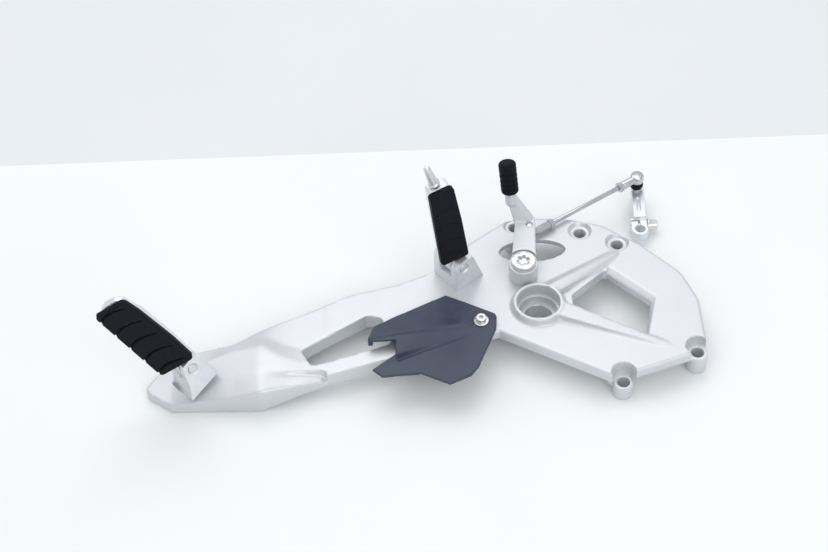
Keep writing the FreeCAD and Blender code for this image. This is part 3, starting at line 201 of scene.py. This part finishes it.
def guard_plastic():
    """Blue-black moulded plastic with a fine pebble grain and light scuffs."""
    g = Graph("guard_plastic")
    pebble = g.node("ShaderNodeTexVoronoi", {"feature": "SMOOTH_F1"}, Vector=g.place, Scale=1500.0,
                    Smoothness=0.6).outputs["Distance"]
    wave = g.noise(70, 4.0)
    scuff = g.span(g.noise(140, 6.0, 0.75, (5, 1, 1)), 0.64, 0.76, 0.0, 0.30)
    tone = g.blend(g.span(wave, 0.3, 0.7), colour(0.030, 0.040, 0.072), colour(0.043, 0.054, 0.094))
    tone = g.blend(scuff, tone, colour(0.058, 0.066, 0.090))
    rough = g.math("ADD", g.span(wave, 0.3, 0.7, 0.36, 0.46), g.math("MULTIPLY", scuff, 0.35))
    return g.finish(Base_Color=tone, Roughness=rough, Normal=g.bump(pebble, 0.030 * MM),
                    Specular_IOR_Level=0.5)


def spring_steel():
    """Oiled dark spring steel."""
    g = Graph("spring_steel")
    film = g.noise(300, 4.0)
    tone = g.blend(g.span(film, 0.3, 0.7), colour(0.20, 0.20, 0.21), colour(0.34, 0.33, 0.32))
    return g.finish(Base_Color=tone, Metallic=0.9, Roughness=g.span(film, 0.3, 0.7, 0.28, 0.5),
                    Normal=g.bump(film, 0.01 * MM))


def plain_bronze():
    """Plain bearing bronze."""
    g = Graph("plain_bronze")
    film = g.noise(500, 4.0)
    tone = g.blend(g.span(film, 0.3, 0.7), colour(0.50, 0.34, 0.17), colour(0.66, 0.48, 0.27))
    return g.finish(Base_Color=tone, Metallic=0.95, Roughness=g.span(film, 0.3, 0.7, 0.3, 0.5),
                    Normal=g.bump(film, 0.008 * MM))


def table_top():
    """Plain white table with a barely visible grain."""
    g = Graph("table_top")
    cloud = g.noise(6, 3.0)
    grain = g.noise(900, 2.0)
    tone = g.blend(g.span(cloud, 0.3, 0.7), colour(0.865, 0.885, 0.88), colour(0.89, 0.905, 0.90))
    return g.finish(Base_Color=tone, Roughness=g.span(grain, 0.3, 0.7, 0.5, 0.62),
                    Normal=g.bump(grain, 0.01 * MM))


def pale_floor():
    """Plain pale grey ground beyond the table's far edge."""
    g = Graph("pale_floor")
    cloud = g.noise(3, 3.0)
    tone = g.blend(g.span(cloud, 0.3, 0.7), colour(0.755, 0.775, 0.785), colour(0.775, 0.795, 0.805))
    return g.finish(Base_Color=tone, Roughness=0.8)


FINISH = {"casting": silver_paint(), "forged": forged_satin(), "zinc": zinc_plate(),
          "polished": bright_plate(), "rubber": moulded_rubber(), "guard": guard_plastic(),
          "spring_steel": spring_steel(), "bronze": plain_bronze()}
MACHINED = machined_alloy()


# ---------------------------------------------------------------- mesh helpers

def frame_matrix(centre, *turns):
    """Matrix of a frame at a point, turned about its own axes one after another: ("Z", 30) and so on."""
    matrix = Matrix.Translation(centre)
    for axis, degrees in turns:
        matrix = matrix @ Matrix.Rotation(math.radians(degrees), 4, axis)
    return matrix


def mesh_object(name, bm):
    """An object in the scene from a mesh under construction, which is used up."""
    mesh = bpy.data.meshes.new(name)
    bm.normal_update()
    bm.to_mesh(mesh)
    bm.free()
    item = bpy.data.objects.new(name, mesh)
    bpy.context.scene.collection.objects.link(item)
    return item


def cad_copy(node, name):
    """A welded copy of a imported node's mesh."""
    bm = bmesh.new()
    bm.from_mesh(frame["nodes"][node].data)
    bmesh.ops.remove_doubles(bm, verts=bm.verts, dist=0.002 * MM)
    item = mesh_object(name, bm)
    item.data.materials.clear()
    return item


def bake(item):
    """Turn an object's modifiers into its mesh."""
    graph = bpy.context.evaluated_depsgraph_get()
    mesh = bpy.data.meshes.new_from_object(item.evaluated_get(graph))
    item.modifiers.clear()
    item.data = mesh
    return item


def shade(item, degrees=32):
    """Smooth shading that breaks at edges sharper than an angle."""
    item.data.shade_smooth()
    item.data.set_sharp_from_angle(angle=math.radians(degrees))
    return item


def fit(item, *nodes, extra=()):
    """Give a finished piece its finish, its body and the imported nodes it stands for."""
    slot_name = SLOT_OF[nodes[0]]
    item.data.materials.clear()
    for material in (FINISH[slot_name], *extra):
        item.data.materials.append(material)
    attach(item, BODY_OF[nodes[0]])
    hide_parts(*nodes)
    return item


def crisp(node, width=0.3, segments=2):
    """A machined or turned piece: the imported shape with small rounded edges."""
    item = cad_copy(node, node + "_piece")
    bm = bmesh.new()
    bm.from_mesh(item.data)
    bmesh.ops.dissolve_limit(bm, angle_limit=math.radians(0.6), verts=bm.verts, edges=bm.edges)
    bm.to_mesh(item.data)
    bm.free()
    bevel = item.modifiers.new("edges", "BEVEL")
    bevel.width = width * MM
    bevel.segments = segments
    bevel.limit_method = "ANGLE"
    bevel.angle_limit = math.radians(32)
    bevel.use_clamp_overlap = True
    return fit(shade(bake(item)), node)


def cast(node, voxel, rounds, added=()):
    """A cast, forged or moulded skin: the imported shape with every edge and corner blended.

    A convex lump with the added corners, in millimetres, becomes one with the skin.
    """
    item = cad_copy(node, node + "_piece")
    if added:
        lump = bmesh.new()
        lump.from_mesh(item.data)
        corners = [lump.verts.new(Vector(corner) * MM) for corner in added]
        hull = bmesh.ops.convex_hull(lump, input=corners)
        inside = [part for part in hull["geom_interior"] if isinstance(part, bmesh.types.BMVert)]
        bmesh.ops.delete(lump, geom=inside, context="VERTS")
        lump.to_mesh(item.data)
        lump.free()
    remesh = item.modifiers.new("skin", "REMESH")
    remesh.mode = "VOXEL"
    remesh.voxel_size = voxel * MM
    smooth = item.modifiers.new("blend", "SMOOTH")
    smooth.factor = 0.5
    smooth.iterations = rounds
    return bake(item)


def lathe(bm, profile, matrix, segments, index=0):
    """A closed turned solid from (radius, height) corners in mm that start and end on the axis."""
    rings = []
    for radius, height in profile:
        if radius < 1e-6:
            rings.append([bm.verts.new(matrix @ Vector((0, 0, height * MM)))])
        else:
            rings.append([bm.verts.new(matrix @ Vector((radius * MM * math.cos(math.tau * i / segments),
                                                        radius * MM * math.sin(math.tau * i / segments),
                                                        height * MM))) for i in range(segments)])
    for low, high in zip(rings, rings[1:]):
        for i in range(segments):
            j = (i + 1) % segments
            corners = [low[i % len(low)], low[j % len(low)], high[j % len(high)], high[i % len(high)]]
            unique = list(dict.fromkeys(corners))
            if len(unique) > 2:
                bm.faces.new(unique).material_index = index


def turned(name, profile, matrix, segments):
    """A closed turned solid as an object of its own."""
    bm = bmesh.new()
    lathe(bm, profile, matrix, segments)
    return shade(mesh_object(name, bm), 40)


def arc(centre, radius, start, end, steps):
    """Points of an arc in the profile plane, from one angle to another in degrees."""
    return [(centre[0] + radius * math.cos(math.radians(start + (end - start) * i / steps)),
             centre[1] + radius * math.sin(math.radians(start + (end - start) * i / steps)))
            for i in range(steps + 1)]


def smooth_step(value):
    """Ease from 0 to 1 as a value goes from 0 to 1."""
    value = min(max(value, 0.0), 1.0)
    return value * value * (3 - 2 * value)


# ---------------------------------------------------------------- casting

def carve(item, cutter):
    """Cut a closed mesh away from another; the new faces keep the cutter's material index."""
    cut = item.modifiers.new("carve", "BOOLEAN")
    cut.operation = "DIFFERENCE"
    cut.object = cutter
    cut.solver = "MANIFOLD"
    bake(item)
    bpy.data.objects.remove(cutter)


# Profiles of the cut places in (radius, height), from below the plate upwards. Spot-faced holes lie at
# (x, y); edge bosses are given as (x, y, height of the face).
PIVOT_BORE = [(0, -5), (12.05, -5), (12.05, 14.4), (12.6, 15.02), (16.45, 15.02), (16.45, 21.5),
              (17.0, 22.02), (18.65, 22.02), (18.65, 33.6), (19.8, 36), (0, 36)]
SPOTFACED_HOLE = [(0, -5), (5.3, -5), (5.3, 23.7), (5.9, 24.35), (8.25, 24.35), (10.5, 27.7),
                  (11.2, 29.5), (0, 29.5)]
SPOTFACED_PLACES = ((-12.0, 99.0), (45.9, 87.2), (77.6, 70.3))
EDGE_BOSSES = ((64.3, -78.2, 14.45), (130.1, -54.9, 18.95))
MACHINED_INDEX = 1


def edge_boss_hole(top):
    """Bolt hole and faced pocket of an edge boss whose face is at a height."""
    return [(0, -5), (5.3, -5), (5.3, top - 0.7), (6.0, top), (10.45, top), (10.45, top + 20), (0, top + 20)]


def machined_holes():
    """The bored and faced places of the casting, as one cutter."""
    bm = bmesh.new()
    lathe(bm, PIVOT_BORE, Matrix.Identity(4), 128, MACHINED_INDEX)
    bolt_holes = [(x, y, SPOTFACED_HOLE) for x, y in SPOTFACED_PLACES]
    bolt_holes += [(x, y, edge_boss_hole(top)) for x, y, top in EDGE_BOSSES]
    for x, y, profile in bolt_holes:
        lathe(bm, profile, Matrix.Translation((x * MM, y * MM, 0)), 96, MACHINED_INDEX)
    return mesh_object("hole_cutter", bm)


def soften(item, line, reach, rounds):
    """Blend a skin further round a line between two places, fading out at a reach in mm."""
    start, end = (Vector(place) * MM for place in line)
    group = item.vertex_groups.new(name="soft")
    for vertex in item.data.vertices:
        share = (vertex.co - start).dot(end - start) / (end - start).length_squared
        nearest = start.lerp(end, min(max(share, 0.0), 1.0))
        weight = 1.0 - (vertex.co - nearest).length / (reach * MM)
        if weight > 0.0:
            group.add([vertex.index], smooth_step(weight), "REPLACE")
    blend = item.modifiers.new("soften", "SMOOTH")
    blend.factor = 0.5
    blend.iterations = rounds
    blend.vertex_group = group.name
    bake(item)
    item.vertex_groups.clear()


# Where the arm's dome and the bend above the arm's window have no crisp line.
DOME_CREST = ((-241, -27, 30), (-241, -54, 30))
ARM_BEND = ((-185, 6, 25), (-185, -9, 25))
# The rib above the triangular window, ring end then tip: far foot, crest, near foot, root.
RIB_CREST = ((5, 24.5, 27.6), (9.5, 16.5, 35.2), (15, 8, 33.6), (10, 18, 20),
             (76, 63, 27.6), (76, 55.8, 29.3), (66, 42, 27.8), (72, 52, 20))


def plate_casting():
    """The cast plate and arm: crisp over the plate, softened on the arm, with machined holes."""
    item = cast("footrest_plate", 1.0, 4, added=RIB_CREST)
    soften(item, DOME_CREST, 32, 110)
    soften(item, ARM_BEND, 13, 45)
    for vertex in item.data.vertices:
        vertex.co.z = max(vertex.co.z, 0.0)
    cutter = machined_holes()
    for part in (item, cutter):
        part.data.materials.append(FINISH["casting"])
        part.data.materials.append(MACHINED)
    carve(item, cutter)
    fit(shade(item, 38), "footrest_plate", extra=[MACHINED])


# ---------------------------------------------------------------- pegs

RIDER_PEG = frame_matrix(JOINTS["rider_peg_fold"]["pos_m"], ("Z", 37), ("Y", -7), ("Z", -14.5))
PILLION_PEG = frame_matrix(JOINTS["pillion_peg_fold"]["pos_m"], ("Y", -27.2), ("Z", 8.7))


GROOVE_END = 0.80
GROOVE_PITCH = 19.0
PAD_EDGE = 1.1
PAD_ROW = 0.55


def groove_depth(across, along, depth, first, count):
    """Depth of the crescent grooves at a place on a tread; across runs from -1 to 1."""
    if across > GROOVE_END:
        return 0.0
    sweep = 5.5 * math.sin(math.pi * ((across + 1) / 2) ** 0.75)
    half = 0.5 * (3.4 - 1.2 * (across + 1))
    fade = smooth_step((GROOVE_END - across) / 0.25)
    offset = min(abs(along - first - GROOVE_PITCH * k - sweep) for k in range(count))
    return depth * fade * (1 - smooth_step((offset - 0.35 * half) / (0.75 * half)))


def side_at(points, z):
    """Place of a pad's side at a height, along a line of (x, height) points."""
    for (x0, z0), (x1, z1) in zip(points, points[1:]):
        if z <= z1 or (x1, z1) == points[-1]:
            return x0 + (x1 - x0) * (z - z0) / (z1 - z0)


def tread_pad(name, matrix, left, right, corner, front, back, groove):
    """A rubber pad: grooved tread with rounded corners and edges, side walls and a flat back.

    Its sides follow two lines of points in a peg's frame; the tread faces -Y.
    """
    bottom, length = left[0][1], left[-1][1] - left[0][1]
    columns, rows = 56, max(2, round(length / PAD_ROW))
    half_length = length / 2
    half_width = (right[0][0] - left[0][0]) / 2

    def plan(i, j):
        """Grid place to a place in the rounded outline, about its middle."""
        x = (2 * i / columns - 1) * half_width
        z = (2 * j / rows - 1) * half_length
        inner = (min(max(x, corner - half_width), half_width - corner),
                 min(max(z, corner - half_length), half_length - corner))
        dx, dz = x - inner[0], z - inner[1]
        reach = math.hypot(dx, dz)
        if reach > 1e-9 and dx and dz:
            squeeze = max(abs(dx), abs(dz)) / reach
            dx, dz = dx * squeeze, dz * squeeze
        margin = min(half_width - abs(inner[0]) - abs(dx) if not dz else 1e9,
                     half_length - abs(inner[1]) - abs(dz) if not dx else 1e9,
                     corner - math.hypot(dx, dz) if dx and dz else 1e9)
        if not dx and not dz:
            margin = min(half_width - abs(x), half_length - abs(z))
        return inner[0] + dx, inner[1] + dz, max(margin, 0.0)

    def place(x, y, z):
        height = bottom + half_length + z
        low, high = side_at(left, height), side_at(right, height)
        return matrix @ (Vector((low + (high - low) * (x / half_width + 1) / 2, y, height)) * MM)

    bm = bmesh.new()
    grid, rim = {}, {}
    for i in range(columns + 1):
        for j in range(rows + 1):
            x, z, margin = plan(i, j)
            over = max(PAD_EDGE - margin, 0.0)
            fall = PAD_EDGE - math.sqrt(max(PAD_EDGE * PAD_EDGE - over * over, 0.0))
            y = -front + fall + groove(x / half_width, z + half_length)
            grid[i, j] = bm.verts.new(place(x, y, z))
            if i in (0, columns) or j in (0, rows):
                rim[i, j] = (x, y, z)
    for i in range(columns):
        for j in range(rows):
            bm.faces.new([grid[i, j], grid[i, j + 1], grid[i + 1, j + 1], grid[i + 1, j]])
    border = ([(i, 0) for i in range(columns)] + [(columns, j) for j in range(rows)]
              + [(i, rows) for i in range(columns, 0, -1)] + [(0, j) for j in range(rows, 0, -1)])
    previous = [grid[key] for key in border]
    steps = 6
    for step in range(1, steps + 1):
        level = [bm.verts.new(place(rim[key][0], rim[key][1] + (-back - rim[key][1]) * step / steps,
                                    rim[key][2])) for key in border]
        for k in range(len(border)):
            n = (k + 1) % len(border)
            bm.faces.new([previous[k], previous[n], level[n], level[k]])
        previous = level
    bm.faces.new(list(reversed(previous)))
    bmesh.ops.recalc_face_normals(bm, faces=bm.faces)
    return shade(mesh_object(name, bm), 50)


def rider_pad():
    """Tread of the rider's footrest, with four shallow grooves."""
    def groove(across, along):
        return groove_depth(across, along, 1.1, 6, 4)
    left = [(-14.35, 10.25), (-13.55, 100.35)]
    right = [(11.75, 10.25), (10.85, 57), (8.55, 100.35)]
    item = tread_pad("rider_peg_rubber_piece", RIDER_PEG, left, right, 3.0, 11.15, 5.9, groove)
    fit(item, "rider_peg_rubber")


def pillion_pad():
    """Tread of the pillion's footrest, with five deep grooves."""
    def groove(across, along):
        return groove_depth(across, along, 2.2, 3.5, 5)
    left = [(-17.35, 10.25), (-18.35, 98.45)]
    right = [(16.15, 10.25), (16.15, 38), (13.15, 81), (10.35, 98.45)]
    item = tread_pad("pillion_peg_rubber_piece", PILLION_PEG, left, right, 4.0, 14.45, 9.6, groove)
    fit(item, "pillion_peg_rubber")


def peg_cores():
    """The forged bars under the treads."""
    for node in ("rider_peg_core", "pillion_peg_core"):
        fit(shade(cast(node, 0.55, 6), 60), node)


def return_spring():
    """Round wire wound twice about the fold pin, with a straight leg at each end."""
    radius, rise, turns, wire, leg, round_sides = 5.6, 2.05, 2.0, 0.85, 7.0, 14
    slot_width, gap = 15.0, 1.4
    joint = frame_matrix(JOINTS["rider_peg_fold"]["pos_m"], ("Z", 37))
    start = slot_width / 2 - gap - rise * turns
    path = [Vector((radius, -leg * (1 - k / 8), 0)) for k in range(8)]
    steps = 96
    for k in range(steps + 1):
        angle = math.tau * turns * k / steps
        path.append(Vector((radius * math.cos(angle), radius * math.sin(angle), rise * turns * k / steps)))
    path += [Vector((radius, leg * k / 8, rise * turns)) for k in range(1, 9)]
    turn = joint @ Matrix.Translation((0, start * MM, 0)) @ Matrix.Rotation(math.radians(-90), 4, "X")
    bm = bmesh.new()
    rings = []
    for k, point in enumerate(path):
        ahead = path[min(k + 1, len(path) - 1)] - path[max(k - 1, 0)]
        side = ahead.cross(Vector((0, 0, 1))).normalized()
        up = side.cross(ahead).normalized()
        rings.append([bm.verts.new(turn @ ((point + wire * (math.cos(a) * side + math.sin(a) * up)) * MM))
                      for a in (math.tau * i / round_sides for i in range(round_sides))])
    for low, high in zip(rings, rings[1:]):
        for i in range(round_sides):
            j = (i + 1) % round_sides
            bm.faces.new([low[i], low[j], high[j], high[i]])
    bm.faces.new(list(reversed(rings[0])))
    bm.faces.new(rings[-1])
    bmesh.ops.recalc_face_normals(bm, faces=bm.faces)
    fit(shade(mesh_object("rider_return_spring_piece", bm), 40), "rider_return_spring")


# ---------------------------------------------------------------- shift lever and toe peg

def toe_rubber():
    """Rubber sleeve with a domed end and four ring grooves."""
    toe = frame_matrix(Vector((-16.4, 90.8, 71.6)) * MM, ("X", -15), ("Y", -4.4))
    profile = [(0, 5.05), (4.4, 5.05)] + arc((5.0, 7.8), 2.7, -80, -5, 6)
    for middle in (11.2, 15.6, 20.2, 25.6):
        profile += [(7.8, middle - 1.2)] + arc((7.9, middle), 1.0, 230, 130, 6) + [(7.8, middle + 1.2)]
    profile += arc((4.8, 33.2), 3.0, 0, 90, 8) + [(3.2, 36.14), (0, 36.17)]
    fit(turned("toe_rubber_piece", profile, toe, 72), "toe_rubber")


# ---------------------------------------------------------------- whole object

def pieces():
    """Every visible piece of the object."""
    plate_casting()
    fit(shade(cast("shift_lever", 0.6, 8), 60), "shift_lever")
    fit(shade(cast("heel_guard", 0.65, 3), 50), "heel_guard")
    fit(shade(cast("gearbox_lever", 0.42, 4), 60), "gearbox_lever")
    peg_cores()
    rider_pad()
    pillion_pad()
    return_spring()
    toe_rubber()
    for node in ("rider_joint_block", "pillion_joint_block"):
        crisp(node, 0.7, 3)
    for node in ("rider_peg_pin", "rider_pin_clip", "rider_joint_bolt", "rider_rubber_screws", "feeler_pin",
                 "pillion_peg_pin", "pillion_pin_clip", "pillion_joint_bolt", "pillion_spring_washer",
                 "pillion_rubber_screws", "lever_bush", "lever_washer", "lever_pivot_bolt", "toe_pin",
                 "rear_ball_stud", "front_ball_stud", "rear_ball_socket", "front_ball_socket",
                 "rear_dust_boot", "front_dust_boot", "shift_rod", "rod_lock_nuts", "pinch_bolt",
                 "heel_guard_collar", "heel_guard_screw", "heel_guard_rear_screws"):
        crisp(node, 0.25, 2)


# ---------------------------------------------------------------- table, light and camera

def flat_piece(name, corners, material):
    """One flat face of the surroundings."""
    bm = bmesh.new()
    bm.faces.new([bm.verts.new(corner) for corner in corners])
    item = mesh_object(name, bm)
    item.data.materials.append(material)


def surroundings():
    """The table, just under the object, and the ground beyond the table's slanting far edge."""
    level, side, near, beyond = -0.0003, 3, -2.5, 3.5
    far_left, far_right = (-side, 0.331, level), (side, 0.134, level)
    flat_piece("table", [(-side, near, level), (side, near, level), far_right, far_left], table_top())
    flat_piece("floor_behind", [far_left, far_right, (side, beyond, level), (-side, beyond, level)],
               pale_floor())


def area_light(name, place, target, size, power):
    """A rectangular light that faces a target."""
    light = bpy.data.lights.new(name, "AREA")
    light.shape = "RECTANGLE"
    light.size, light.size_y = size
    light.energy = power
    item = bpy.data.objects.new(name, light)
    item.location = place
    item.rotation_euler = (Vector(target) - Vector(place)).to_track_quat("-Z", "Y").to_euler()
    bpy.context.scene.collection.objects.link(item)


def studio():
    """Even pale light from all round, a soft box above and behind, and a weaker fill from the front."""
    world = bpy.data.worlds.new("soft_world")
    world.use_nodes = True
    background = world.node_tree.nodes["Background"]
    background.inputs["Color"].default_value = colour(0.95, 0.97, 1.0)
    background.inputs["Strength"].default_value = 0.78
    bpy.context.scene.world = world
    area_light("soft_box", (-0.25, 0.75, 1.5), (-0.1, 0.0, 0.0), (1.6, 1.1), 8.5)
    area_light("front_fill", (0.5, -1.3, 1.2), (-0.1, 0.0, 0.0), (1.4, 1.0), 7.5)


def camera():
    """Camera to the object's -Y side, looking down at it."""
    data = bpy.data.cameras.new("camera")
    data.lens, data.sensor_width = 69.57, 36
    item = bpy.data.objects.new("camera", data)
    right, up, back = (0.9981, -0.0451, -0.0411), (0.0610, 0.7382, 0.6717), (0.0, -0.6730, 0.7396)
    turn = Matrix((right, up, back)).transposed().to_4x4()
    item.matrix_world = Matrix.Translation((-0.1061, -0.9100, 1.0762)) @ turn
    bpy.context.scene.collection.objects.link(item)
    bpy.context.scene.camera = item


pieces()
surroundings()
studio()
camera()
bpy.context.scene.view_settings.view_transform = "Standard"
